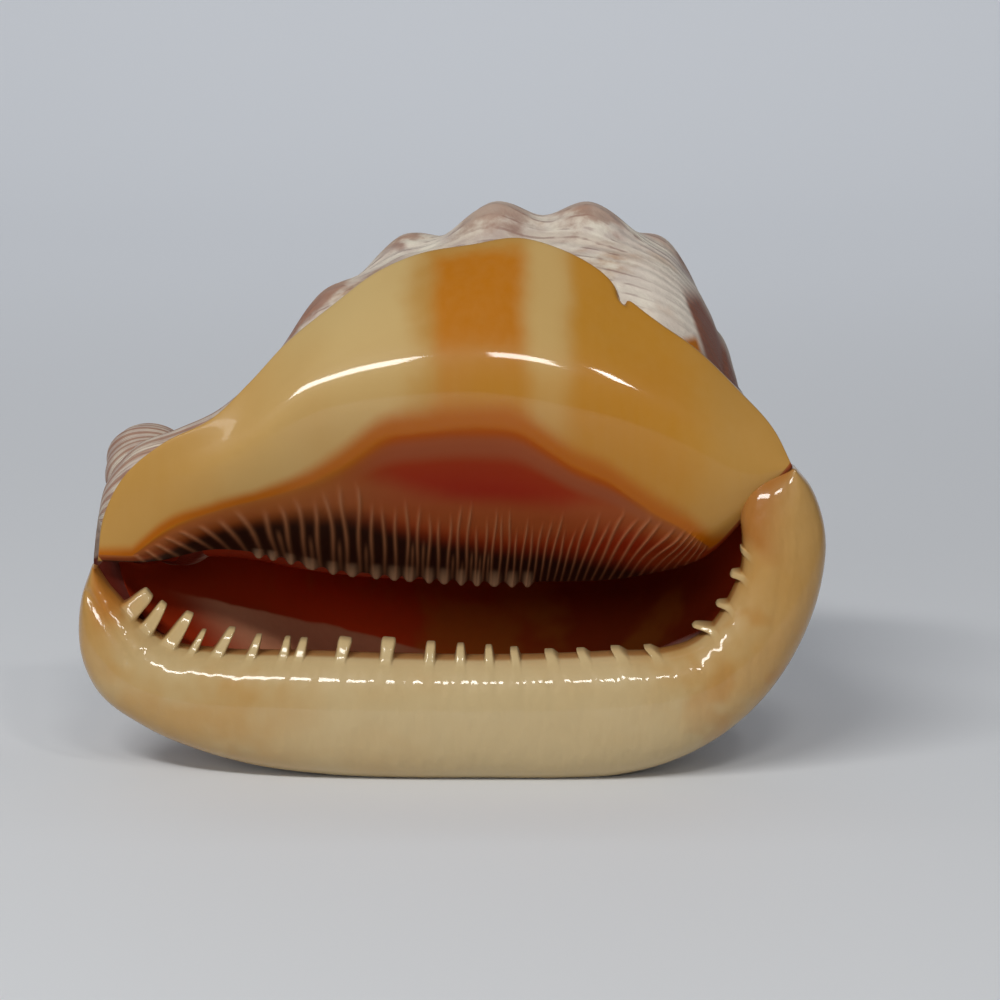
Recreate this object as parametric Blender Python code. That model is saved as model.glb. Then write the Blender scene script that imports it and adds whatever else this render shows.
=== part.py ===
# A helmet shell, standing on its outer lip with the mouth to the front.
# Metres, +Z up. +X runs along the coil axis towards the spire, and the mouth faces -Y.
# The shell grew as one piece, so everything below is joined into one solid:
# the last whorl with its knobs and spire, the glossy shield over its front,
# the rolled outer lip with its teeth, and the short turned-up canal.

import math

import bmesh
import bpy
import numpy as np

# Driving dimensions

LIP_DEPTH = 0.0092            # half the thickness of the rolled lip, front to back
SHIELD_EDGE = 0.0028          # thickness of the shield at its edges
TOOTH_HEIGHT = 0.0032         # lip teeth, above the lip's inner edge
TOOTH_WIDTH = 0.0013
RIDGE_HEIGHT = 0.0006         # fine ridges on the shield's lower edge
RIDGE_COUNT = 46
RIDGES_FROM, RIDGES_TO = 0.07, 0.83    # share of the shield's length that is ridged
CENTRE = (0.0, 0.0440)        # middle of the shell's box, along and across
WELD = 0.00001

# Mesh fineness

WHORL_COLUMNS, WHORL_ROWS = 46, 26
HOLLOW_COLUMNS, HOLLOW_ROWS = 16, 16
SHIELD_COLUMNS, SHIELD_ROWS, SHIELD_FRONT_ROWS = 108, 12, 8
LIP_COLUMNS, LIP_ROWS = 108, 8
TUBE_COLUMNS, TUBE_ROWS = 10, 8

# The coil axis: position along X, then its depth and height there

AXIS_X = (-0.076, -0.050, -0.020, 0.010, 0.040, 0.068)
AXIS_Y = (0.027, 0.034, 0.043, 0.047, 0.047, 0.045)
AXIS_Z = (0.048, 0.051, 0.055, 0.058, 0.061, 0.064)

# Outline of the last whorl where it is round, from the canal end to the spire: position along X, radius

ROUND = (
    (-0.0745, 0.0), (-0.0725, 0.0075), (-0.066, 0.0145), (-0.058, 0.0165), (-0.050, 0.0190),
    (-0.042, 0.0245), (-0.031, 0.0350), (-0.019, 0.0430), (-0.004, 0.0480), (0.014, 0.0490),
    (0.030, 0.0475), (0.042, 0.0430), (0.0505, 0.0345), (0.0545, 0.0275), (0.0575, 0.0215),
    (0.0600, 0.0140), (0.0625, 0.0070), (0.0640, 0.0),
)

# Its outline where it flares out to the lip, and the angle round the axis at which it ends there

MOUTH = (
    (-0.0745, 0.0), (-0.0742, 0.0090), (-0.0736, 0.0170), (-0.0730, 0.0210), (-0.0710, 0.0270),
    (-0.0660, 0.0335), (-0.0570, 0.0397), (-0.0450, 0.0465), (-0.0300, 0.0520), (-0.0100, 0.0570),
    (0.0100, 0.0600), (0.0300, 0.0600), (0.0480, 0.0560), (0.0580, 0.0530), (0.0630, 0.0500),
    (0.0680, 0.0450), (0.0705, 0.0400), (0.0715, 0.0360), (0.0710, 0.0310), (0.0700, 0.0230),
    (0.0675, 0.0120), (0.0640, 0.0),
)
MOUTH_ANGLE = (
    335, 335, 335, 327, 319, 314, 312, 312, 314, 315, 315, 315, 316, 317, 319, 325, 333, 342, 350,
    352, 352, 352,
)
FLARE_FROM = 205              # angle at which the flare begins
STEP_ANGLE = 4                # the step at the mouth, down to the whorl inside

# How far the whorl has grown at each angle. 0 faces front, 90 up, 180 back, 270 down.

GROWTH_ANGLE = (
    -200, -120, -60, -40, -20, 0, 22, 45, 60, 75, 90, 115, 150, 190, 225, 255, 275, 295, 316,
)
GROWTH = (
    0.25, 0.45, 0.58, 0.62, 0.66, 0.74, 0.86, 0.93, 0.95, 0.972, 0.99, 1.0, 0.97, 0.95, 0.99, 1.058,
    1.08, 1.13, 1.21,
)

# Rows of knobs on the back: position along X, height, half-width, how many in a full turn, first angle

KNOB_ROWS = (
    (0.046, 0.0032, 0.0062, 12, 14.0),
    (0.029, 0.0052, 0.0088, 11, 28.5),
    (0.009, 0.0060, 0.0088, 11, 28.5),
    (-0.011, 0.0042, 0.0078, 11, 8.0),
    (-0.028, 0.0028, 0.0065, 10, 20.0),
)
KNOBS_FROM, KNOBS_TO = 84, 270

# The hollow coils inwards from the mouth: growth angle, the shares of the outline between which it lies,
# the size of the whorl inside it, and the thickness of the wall outside it

HOLLOW_ANGLE = (-200, -120, -40, 40, 120, 200, 270, 316, 340)
HOLLOW_FROM = (0.45, 0.42, 0.36, 0.30, 0.24, 0.18, 0.12, 0.08, 0.08)
HOLLOW_TO = (0.74, 0.76, 0.78, 0.80, 0.81, 0.82, 0.84, 0.86, 0.86)
HOLLOW_INNER = (0.10, 0.14, 0.20, 0.27, 0.34, 0.39, 0.46, 0.56, 0.58)
HOLLOW_WALL = (0.0030, 0.0050, 0.0068, 0.0055, 0.0036, 0.0036, 0.0036, 0.0036, 0.0036)
HOLLOW_BEYOND = 22            # how far out of the mouth it goes on
HOLLOW_MIDDLE = 0.56          # share of the outline at which its ends close

# The shield: rails from its left tip to its right corner, from the ridged lower edge to the top edge

TIP = (-0.0724, 0.0090, 0.0428)
CORNER = (0.0694, 0.0080, 0.0625)
RAIL_SHARE = (0, 0.25, 0.5, 0.78, 1)
RAILS = (
    (
        TIP, (-0.0618, 0.0100, 0.0424), (-0.0488, 0.0140, 0.0442), (-0.0377, 0.0170, 0.0424),
        (-0.0254, 0.0190, 0.0390), (-0.0110, 0.0210, 0.0371), (0.0162, 0.0220, 0.0356),
        (0.0390, 0.0190, 0.0375), (0.0522, 0.0140, 0.0425), (0.0599, 0.0090, 0.0514), CORNER,
    ),
    (
        TIP, (-0.0665, 0.0080, 0.0460), (-0.0594, 0.0075, 0.0490), (-0.0472, 0.0080, 0.0530),
        (-0.0309, 0.0085, 0.0570), (-0.0187, 0.0090, 0.0595), (-0.0065, 0.0095, 0.0610),
        (0.0099, 0.0100, 0.0600), (0.0222, 0.0095, 0.0560), (0.0344, 0.0090, 0.0525),
        (0.0467, 0.0080, 0.0500), (0.0580, 0.0065, 0.0550), CORNER,
    ),
    (
        TIP, (-0.0700, 0.0090, 0.0480), (-0.0600, 0.0065, 0.0560), (-0.0450, 0.0050, 0.0620),
        (-0.0250, 0.0045, 0.0720), (-0.0050, 0.0040, 0.0770), (0.0100, 0.0038, 0.0780),
        (0.0250, 0.0040, 0.0750), (0.0400, 0.0045, 0.0690), (0.0520, 0.0050, 0.0640),
        (0.0610, 0.0060, 0.0615), CORNER,
    ),
    (
        TIP, (-0.0710, 0.0090, 0.0500), (-0.0630, 0.0080, 0.0610), (-0.0470, 0.0080, 0.0680),
        (-0.0270, 0.0090, 0.0840), (-0.0080, 0.0110, 0.0930), (0.0100, 0.0120, 0.0950),
        (0.0250, 0.0120, 0.0910), (0.0400, 0.0100, 0.0820), (0.0520, 0.0085, 0.0740),
        (0.0620, 0.0080, 0.0670), CORNER,
    ),
    (
        TIP, (-0.0713, 0.0100, 0.0512), (-0.0668, 0.0120, 0.0602), (-0.0587, 0.0140, 0.0671),
        (-0.0487, 0.0180, 0.0721), (-0.0415, 0.0200, 0.0787), (-0.0333, 0.0220, 0.0872),
        (-0.0251, 0.0240, 0.0936), (-0.0149, 0.0260, 0.1008), (-0.0066, 0.0270, 0.1040),
        (0.0037, 0.0280, 0.1057), (0.0140, 0.0280, 0.1071), (0.0223, 0.0265, 0.1050),
        (0.0306, 0.0235, 0.1007), (0.0357, 0.0205, 0.0958), (0.0429, 0.0175, 0.0904),
        (0.0490, 0.0160, 0.0863), (0.0590, 0.0135, 0.0770), (0.0658, 0.0105, 0.0696), CORNER,
    ),
)

# How far the shield's back swells out towards the whorl, along its length

BULK_AT = (0, 0.1, 0.2, 0.5, 0.75, 0.88, 0.96, 1)
BULK = (0, 0.006, 0.008, 0.009, 0.013, 0.024, 0.020, 0)

# The ridges lean in towards the middle as they go down: share of the length, and how far

FAN_AT = (0, 0.1, 0.15, 0.2, 0.25, 0.35, 0.45, 0.6, 0.7, 0.8, 0.87, 0.93, 1)
FAN = (0, 0.024, 0.016, 0.003, -0.006, -0.018, -0.027, -0.042, -0.068, -0.100, -0.110, -0.065, 0)
RIDGE_TOP = 0.24              # share of the way up the shield at which the ridges fade out

# The outer lip: its inner and its outer edge, both from the left end round the bottom to the right end

LIP_INNER = (
    (-0.0728, 0.0412), (-0.0706, 0.0378), (-0.0677, 0.0346), (-0.0622, 0.0292), (-0.0572, 0.0264),
    (-0.0474, 0.0252), (-0.0307, 0.0253), (-0.0135, 0.0250), (0.0071, 0.0248), (0.0201, 0.0250),
    (0.0335, 0.0255), (0.0424, 0.0258), (0.0492, 0.0277), (0.0530, 0.0308), (0.0565, 0.0362),
    (0.0590, 0.0425), (0.0600, 0.0490), (0.0610, 0.0545), (0.0645, 0.0598), (0.0695, 0.0620),
)
LIP_OUTER = (
    (-0.0738, 0.0416), (-0.0759, 0.0355), (-0.0766, 0.0297), (-0.0760, 0.0232), (-0.0730, 0.0166),
    (-0.0625, 0.0089), (-0.0520, 0.0047), (-0.0415, 0.0020), (-0.0249, 0.0000), (-0.0106, -0.0006),
    (0.0058, -0.0006), (0.0222, -0.0006), (0.0345, 0.0002), (0.0450, 0.0029), (0.0558, 0.0086),
    (0.0650, 0.0172), (0.0717, 0.0278), (0.0755, 0.0387), (0.0764, 0.0477), (0.0752, 0.0538),
    (0.0731, 0.0585), (0.0706, 0.0615),
)
LIP_SHARE = (0, 0.1, 0.25, 0.5, 0.75, 0.9, 1)
LIP_MIDDLE = (0.0120, 0.0085, 0.0040, 0.0015, 0.0035, 0.0080, 0.0120)
LIP_FULLNESS = (0.45, 0.75, 0.95, 1.0, 0.95, 0.75, 0.45)

# Teeth along the lip's inner edge: share of its length, height, how far each leans along the edge

TEETH = (
    (0.065, 1.6, -0.7), (0.094, 1.7, -1.0), (0.126, 2.1, -0.7), (0.155, 1.2, -0.6), (0.185, 1.6, -0.3),
    (0.225, 1.1, -0.4), (0.263, 0.9, -0.5), (0.282, 0.85, -0.3), (0.331, 1.0, -0.1), (0.384, 1.05, -0.1),
    (0.435, 0.85, 0), (0.471, 0.75, 0), (0.505, 0.65, 0), (0.536, 0.5, 0), (0.579, 0.4, -0.3),
    (0.617, 0.4, -0.4), (0.660, 0.5, -0.5), (0.700, 0.55, -0.5), (0.773, 1.0, -1.5), (0.806, 0.5, -1.6),
    (0.844, 0.45, -1.2), (0.872, 0.25, 0),
)

# The turned-up canal at the left end, and the channel through it

SPOUT = ((-0.052, 0.022, 0.046), (-0.061, 0.033, 0.050), (-0.0650, 0.043, 0.0555), (-0.065, 0.051, 0.061))
SPOUT_RADIUS = 0.0095
CHANNEL = (
    (-0.050, 0.012, 0.036), (-0.060, 0.018, 0.041), (-0.067, 0.028, 0.046), (-0.070, 0.041, 0.052),
    (-0.0695, 0.054, 0.0645),
)
CHANNEL_RADIUS = 0.0045


def smooth(knots, values, at):
    """Values on a smooth curve through the given ones, at places between the first and last knot."""
    knots, values = np.asarray(knots, float), np.asarray(values, float)
    at = np.clip(at, knots[0], knots[-1])
    slopes = np.gradient(values, knots, axis=0)
    i = np.clip(np.searchsorted(knots, at, side="right") - 1, 0, len(knots) - 2)
    span = knots[i + 1] - knots[i]
    t = (at - knots[i]) / span
    if values.ndim > 1:
        span, t = span[..., None], t[..., None]
    rise = (3 - 2 * t) * t * t
    return (
        values[i] * (1 - rise) + values[i + 1] * rise
        + span * t * (1 - t) * ((1 - t) * slopes[i] - t * slopes[i + 1])
    )


def shares(points):
    """How far along a line of points each one lies, from 0 to 1."""
    steps = np.linalg.norm(np.diff(np.asarray(points, float), axis=0), axis=1)
    return np.concatenate([[0], np.cumsum(steps)]) / steps.sum()


def follow(points, share):
    """Points at a share of the way along a smooth line."""
    return smooth(shares(points), points, share)


def swell(value, power):
    """A sine or cosine made fuller or flatter, with its sign kept."""
    return np.sign(value) * np.abs(value) ** power


def on_axis(x, angle, radius):
    """The point at an angle and radius round the coil axis."""
    turn = np.radians(angle)
    depth = smooth(AXIS_X, AXIS_Y, x) - radius * np.cos(turn)
    height = smooth(AXIS_X, AXIS_Z, x) + radius * np.sin(turn)
    return np.stack([x, depth, height], axis=-1)


def mouth_angle(share):
    return smooth(shares(MOUTH), MOUTH_ANGLE, share)


def grown(angle, outline):
    """The round outline at a growth angle. Growth fades out at the canal and the spire."""
    x, radius = outline[:, 0], outline[:, 1]
    middle = smooth((-0.075, -0.060, -0.040, 0.040, 0.054, 0.066), (0, 0.25, 1, 1, 0.45, 0), x)
    return radius * (1 + (smooth(GROWTH_ANGLE, GROWTH, angle) - 1) * middle)


def section(angle, share):
    """Position along X and radius of the whorl's outside, at a growth angle and a share of its outline."""
    outline = follow(ROUND, share)
    plain = np.stack([outline[:, 0], grown(angle, outline)], axis=-1)
    flare = np.clip((angle - FLARE_FROM) / (mouth_angle(share) - FLARE_FROM), 0, 1)[:, None] ** 2
    return plain + (follow(MOUTH, share) - plain) * flare


def knobs(x, angle, radius):
    """Height of the knobs above the whorl."""
    height = np.zeros_like(x)
    for row_x, tall, half_width, count, first in KNOB_ROWS:
        pitch = 360 / count
        off = (angle - first + pitch / 2) % pitch - pitch / 2
        centre = angle - off
        around = np.radians(off) * radius / half_width
        bump = tall * np.exp(-(((x - row_x) / half_width) ** 2 + around**2) ** 1.3)
        height += bump * ((centre > KNOBS_FROM) & (centre < KNOBS_TO))
    return height


def whorl(around, along):
    """The last whorl. Its last column is the step at the mouth."""
    last = 1 - 1 / WHORL_COLUMNS
    end = mouth_angle(along)
    turned = np.minimum(around / last, 1)
    growth_angle = end - 360 + STEP_ANGLE + turned * (360 - STEP_ANGLE)
    step = around > last + 0.5 / WHORL_COLUMNS
    growth_angle = np.where(step, end - 360 + STEP_ANGLE, growth_angle)
    x, radius = section(growth_angle, along).T
    return on_axis(x, growth_angle, radius + knobs(x, growth_angle, radius))


def hollow(around, along):
    """The coiled hollow inside the whorl, from deep inside out through the mouth."""
    turn = 2 * math.pi * around
    inside = HOLLOW_ANGLE[0] + along * (HOLLOW_ANGLE[-1] - HOLLOW_ANGLE[0])
    start = smooth(HOLLOW_ANGLE, HOLLOW_FROM, inside)
    end = smooth(HOLLOW_ANGLE, HOLLOW_TO, inside)
    share = (start + end) / 2 - (end - start) / 2 * swell(np.cos(turn), 0.8)
    last = mouth_angle(share) + HOLLOW_BEYOND
    angle = HOLLOW_ANGLE[0] + along * (last - HOLLOW_ANGLE[0])
    outer = section(angle, share)
    ahead = section(angle, np.minimum(share + 0.01, 1)) - section(angle, np.maximum(share - 0.01, 0))
    ahead /= np.linalg.norm(ahead, axis=1)[:, None]
    wall = smooth(HOLLOW_ANGLE, HOLLOW_WALL, inside)[:, None]
    outer = outer - wall * np.stack([-ahead[:, 1], ahead[:, 0]], axis=-1)
    inner = follow(ROUND, share)
    inner[:, 1] *= smooth(HOLLOW_ANGLE, HOLLOW_INNER, inside)
    point = (outer + inner) / 2 + (outer - inner) / 2 * swell(np.sin(turn), 0.7)[:, None]
    closing = (along < 1e-6) | (along > 1 - 1e-6)
    middle = np.full_like(along, HOLLOW_MIDDLE)
    point[closing] = (section(inside, middle)[closing] + follow(ROUND, middle)[closing] * 0.5) / 1.5
    angle = np.where(closing, inside, angle)
    return on_axis(point[:, 0], angle, point[:, 1])


def between_rails(rails, up):
    """Points at a share of the way up between the rails, smooth from rail to rail."""
    knots = np.array(RAIL_SHARE)
    slopes = np.gradient(rails, knots, axis=0)
    i = np.clip(np.searchsorted(knots, up, side="right") - 1, 0, len(knots) - 2)
    here = np.arange(rails.shape[1])
    span = (knots[i + 1] - knots[i])[:, None]
    t = (up - knots[i])[:, None] / span
    rise = (3 - 2 * t) * t * t
    return (
        rails[i, here] * (1 - rise) + rails[i + 1, here] * rise
        + span * t * (1 - t) * ((1 - t) * slopes[i, here] - t * slopes[i + 1, here])
    )


def shield(along, around):
    """The shield as a plate with a round edge: up its front along the rails, and down its back."""
    ridged = 2 * RIDGE_COUNT / SHIELD_COLUMNS
    left = (1 - ridged) * RIDGES_FROM / (1 - RIDGES_TO + RIDGES_FROM)
    left = round(left * SHIELD_COLUMNS) / SHIELD_COLUMNS
    along = np.interp(along, (0, left, left + ridged, 1), (0, RIDGES_FROM, RIDGES_TO, 1))
    around = np.interp(around, (0, SHIELD_FRONT_ROWS / SHIELD_ROWS, 1), (0, 0.5, 1))
    turn = 2 * math.pi * around
    up = (1 - np.cos(turn)) / 2
    front = np.clip(np.sin(turn), 0, 1)
    lean = smooth(FAN_AT, FAN, along) * np.clip(1 - up / RIDGE_TOP, 0, 1)
    rails = np.stack([follow(rail, along + lean) for rail in RAILS])
    point = between_rails(rails, up)
    narrow = np.minimum(1, 9 * along * (1 - along)) ** 0.5
    half = SHIELD_EDGE / 2 * narrow
    point[:, 1] += half - half * swell(np.sin(turn), 0.5)
    point[:, 1] += smooth(BULK_AT, BULK, along) * np.clip(-np.sin(turn), 0, 1)
    wave = np.cos(2 * math.pi * RIDGE_COUNT * (along - RIDGES_FROM) / (RIDGES_TO - RIDGES_FROM))
    wave = -RIDGE_HEIGHT * wave * ((along > RIDGES_FROM) & (along < RIDGES_TO))
    point[:, 1] += wave * np.clip(1 - up / RIDGE_TOP, 0, 1) * (front > 0)
    point[:, 2] += 1.5 * wave * np.clip(1 - up / 0.02, 0, 1)
    return point


def lip(along, around):
    """The rolled lip: a thick roll between its two edges, with teeth over the inner one."""
    length = np.linalg.norm(np.diff(np.array(LIP_INNER), axis=0), axis=1).sum()
    inner, outer = follow(LIP_INNER, along), follow(LIP_OUTER, along)
    turn = 2 * math.pi * around
    middle, half = (inner + outer) / 2, (outer - inner) / 2
    depth = LIP_DEPTH * smooth(LIP_SHARE, LIP_FULLNESS, along)
    flat = middle - half * swell(np.cos(turn), 0.85)[:, None]
    y = smooth(LIP_SHARE, LIP_MIDDLE, along) - depth * swell(np.sin(turn), 0.85)
    inwards = -half / np.maximum(np.linalg.norm(half, axis=1), 1e-6)[:, None]
    onwards = np.stack([inwards[:, 1], -inwards[:, 0]], axis=-1)
    crest = np.clip(1.6 * np.cos(turn) - 0.35, 0, 1) * TOOTH_HEIGHT
    for place, tall, leaning in TEETH:
        tooth = tall * crest * np.exp(-(((along - place) * length / TOOTH_WIDTH) ** 2))
        flat = flat + (inwards + leaning * 0.5 * onwards) * tooth[:, None]
    return np.stack([flat[:, 0], y, flat[:, 1]], axis=-1)


def closed_form(name, columns, rows, place):
    """A sheet whose first and last rows meet, drawn to a point or an edge at both ends."""
    mesh = bmesh.new()
    bmesh.ops.create_grid(mesh, x_segments=columns, y_segments=rows, size=0.5)
    flat = np.array([v.co for v in mesh.verts]) + 0.5
    for vertex, point in zip(mesh.verts, place(flat[:, 0], flat[:, 1])):
        vertex.co = point
    return finished(name, mesh)


def finished(name, mesh):
    """An object from a mesh, welded, closed at its ends and facing outwards."""
    bmesh.ops.remove_doubles(mesh, verts=mesh.verts, dist=WELD)
    bmesh.ops.holes_fill(mesh, edges=mesh.edges)
    bmesh.ops.recalc_face_normals(mesh, faces=mesh.faces)
    data = bpy.data.meshes.new(name)
    mesh.to_mesh(data)
    mesh.free()
    return bpy.data.objects.new(name, data)


def tube(name, route, radius):
    """A round bar along a smooth route, with rounded ends."""
    def place(around, along):
        turn = 2 * math.pi * around
        centre = follow(route, along)
        ahead = follow(route, np.minimum(along + 0.02, 1)) - follow(route, np.maximum(along - 0.02, 0))
        ahead /= np.linalg.norm(ahead, axis=1)[:, None]
        side = np.cross(ahead, (0, 0, 1))
        side /= np.linalg.norm(side, axis=1)[:, None]
        over = np.cross(side, ahead)
        size = radius * np.clip(1 - (2 * along - 1) ** 8, 0, 1) ** 0.5
        return centre + size[:, None] * (
            side * np.cos(turn)[:, None] + over * np.sin(turn)[:, None]
        )
    return closed_form(name, TUBE_COLUMNS, TUBE_ROWS, place)


def floor_cutter():
    """What lies below the surface that the shell stands on."""
    mesh = bmesh.new()
    bmesh.ops.create_cube(mesh, size=0.4)
    bmesh.ops.translate(mesh, verts=mesh.verts, vec=(0, 0, -0.2))
    return finished("floor_cutter", mesh)


def shell_material():
    """Polished shell, cream to orange."""
    material = bpy.data.materials.new("shell")
    material.use_nodes = True
    surface = material.node_tree.nodes["Principled BSDF"]
    surface.inputs["Base Color"].default_value = (0.72, 0.46, 0.20, 1)
    surface.inputs["Roughness"].default_value = 0.2
    surface.inputs["Metallic"].default_value = 0.0
    return material


def apply_form(target, form, operation, guides):
    """Joins a form to the target, or cuts it away."""
    guides.objects.link(form)
    form.hide_render = True
    form.display_type = "WIRE"
    step = target.modifiers.new(form.name, "BOOLEAN")
    step.operation = operation
    step.object = form
    step.solver = "EXACT"


def build():
    for item in list(bpy.data.objects):
        bpy.data.objects.remove(item)
    shown = bpy.data.collections.new("helmet_shell")
    guides = bpy.data.collections.new("guides")
    for group in (shown, guides):
        bpy.context.scene.collection.children.link(group)

    shell = closed_form("helmet_shell", WHORL_COLUMNS, WHORL_ROWS, whorl)
    shell.data.materials.append(shell_material())
    shown.objects.link(shell)
    forms = (
        (closed_form("hollow", HOLLOW_COLUMNS, HOLLOW_ROWS, hollow), "DIFFERENCE"),
        (tube("spout", SPOUT, SPOUT_RADIUS), "UNION"),
        (closed_form("shield", SHIELD_COLUMNS, SHIELD_ROWS, shield), "UNION"),
        (closed_form("lip", LIP_COLUMNS, LIP_ROWS, lip), "UNION"),
        (tube("channel", CHANNEL, CHANNEL_RADIUS), "DIFFERENCE"),
    )
    shell.location = (-CENTRE[0], -CENTRE[1], 0)
    for form, operation in forms:
        form.location = shell.location
        apply_form(shell, form, operation, guides)
    apply_form(shell, floor_cutter(), "DIFFERENCE", guides)


build()
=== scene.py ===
import math
import bpy
import numpy as np
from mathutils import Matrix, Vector


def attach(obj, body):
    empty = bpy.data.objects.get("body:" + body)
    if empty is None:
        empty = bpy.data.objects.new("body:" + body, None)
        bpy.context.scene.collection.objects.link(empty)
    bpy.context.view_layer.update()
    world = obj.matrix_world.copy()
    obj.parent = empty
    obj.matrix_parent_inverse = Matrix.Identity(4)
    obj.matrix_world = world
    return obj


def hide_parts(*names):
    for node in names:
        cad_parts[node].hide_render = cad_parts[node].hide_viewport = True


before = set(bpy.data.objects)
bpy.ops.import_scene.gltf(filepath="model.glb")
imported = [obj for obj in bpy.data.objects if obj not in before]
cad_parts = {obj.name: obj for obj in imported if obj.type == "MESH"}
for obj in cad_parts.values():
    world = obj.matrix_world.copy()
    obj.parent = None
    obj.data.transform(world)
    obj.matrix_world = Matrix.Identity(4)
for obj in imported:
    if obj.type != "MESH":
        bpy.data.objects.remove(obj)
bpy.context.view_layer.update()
bpy.ops.object.select_all(action="DESELECT")
print("frame loaded")

# The shell stands on its outer lip. +X runs along the coil axis to the spire, and the mouth faces -Y.
# Places below are measured before the shell is moved to the middle of its box.
boxMiddle = (0.0, 0.0440)
weldDistance = 0.00001
mm = 1000


# curves through a few points

def smoothCurve(knots, values, at):
    knots, values = np.asarray(knots, float), np.asarray(values, float)
    at = np.clip(at, knots[0], knots[-1])
    slopes = np.gradient(values, knots, axis=0)
    i = np.clip(np.searchsorted(knots, at, side="right") - 1, 0, len(knots) - 2)
    span = knots[i + 1] - knots[i]
    t = (at - knots[i]) / span
    if values.ndim > 1:
        span, t = span[..., None], t[..., None]
    rise = (3 - 2 * t) * t * t
    return (
        values[i] * (1 - rise) + values[i + 1] * rise
        + span * t * (1 - t) * ((1 - t) * slopes[i] - t * slopes[i + 1])
    )


def lengthShares(points):
    steps = np.linalg.norm(np.diff(np.asarray(points, float), axis=0), axis=1)
    return np.concatenate([[0], np.cumsum(steps)]) / steps.sum()


def follow(points, share):
    return smoothCurve(lengthShares(points), points, share)


def swell(value, power):    # a sine made fuller or flatter
    return np.sign(value) * np.abs(value) ** power


def fade(low, high, value):    # 0 below low, 1 above high, smooth between
    t = np.clip((value - low) / (high - low), 0, 1)
    return t * t * (3 - 2 * t)


def scatter(number, salt):    # an uneven value from 0 to 1, always the same one for a number
    return np.modf(np.abs(np.sin(number * 12.9898 + salt * 4.1414)) * 4375.85)[0]


# turns a flat grid into a closed form: its first and last rows meet, and its ends are drawn together

def gridPiece(name, columns, rows, place, finishes):
    bpy.ops.mesh.primitive_grid_add(x_subdivisions=columns, y_subdivisions=rows, size=1)
    piece = bpy.context.object
    piece.name = name
    mesh = piece.data
    flat = np.empty(len(mesh.vertices) * 3, np.float32)
    mesh.vertices.foreach_get("co", flat)
    points, marks = place(flat[0::3].astype(float) + 0.5, flat[1::3].astype(float) + 0.5)
    points = points - (*boxMiddle, 0)
    points[:, 2] = np.maximum(points[:, 2], 0)    # worn flat where it touches the table
    mesh.vertices.foreach_set("co", points.astype(np.float32).ravel())
    for mark, values in marks.items():
        mesh.attributes.new(mark, "FLOAT", "POINT").data.foreach_set("value", values.astype(np.float32))
    bpy.ops.object.mode_set(mode="EDIT")
    bpy.ops.mesh.select_all(action="SELECT")
    bpy.ops.mesh.remove_doubles(threshold=weldDistance)
    bpy.ops.mesh.fill_holes(sides=0)
    bpy.ops.mesh.normals_make_consistent(inside=False)
    bpy.ops.object.mode_set(mode="OBJECT")
    bpy.ops.object.shade_smooth()
    for finish in finishes:
        mesh.materials.append(finish)
    return piece


def cutAway(piece, cutter):    # the cut keeps the cutter's own finish
    bpy.ops.object.select_all(action="DESELECT")
    bpy.context.view_layer.objects.active = piece
    piece.select_set(True)
    cut = piece.modifiers.new("cut", "BOOLEAN")
    cut.operation = "DIFFERENCE"
    cut.object = cutter
    cut.solver = "EXACT"
    cut.material_mode = "TRANSFER"
    bpy.ops.object.modifier_apply(modifier=cut.name)
    piece.select_set(False)


# shader maths as plain expressions

class Amount:
    def __init__(self, paint, socket):
        self.paint, self.socket = paint, socket

    def maths(self, operation, *values):
        return self.paint.node("ShaderNodeMath", {"operation": operation}, dict(enumerate(values)))

    def __add__(self, other):
        return self.maths("ADD", self, other)

    def __sub__(self, other):
        return self.maths("SUBTRACT", self, other)

    def __rsub__(self, other):
        return self.maths("SUBTRACT", other, self)

    def __mul__(self, other):
        return self.maths("MULTIPLY", self, other)

    def __truediv__(self, other):
        return self.maths("DIVIDE", self, other)

    __radd__ = __add__
    __rmul__ = __mul__

    def highest(self, other):
        return self.maths("MAXIMUM", self, other)

    def lowest(self, other):
        return self.maths("MINIMUM", self, other)

    def wave(self):
        return self.maths("SINE", self)


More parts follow.
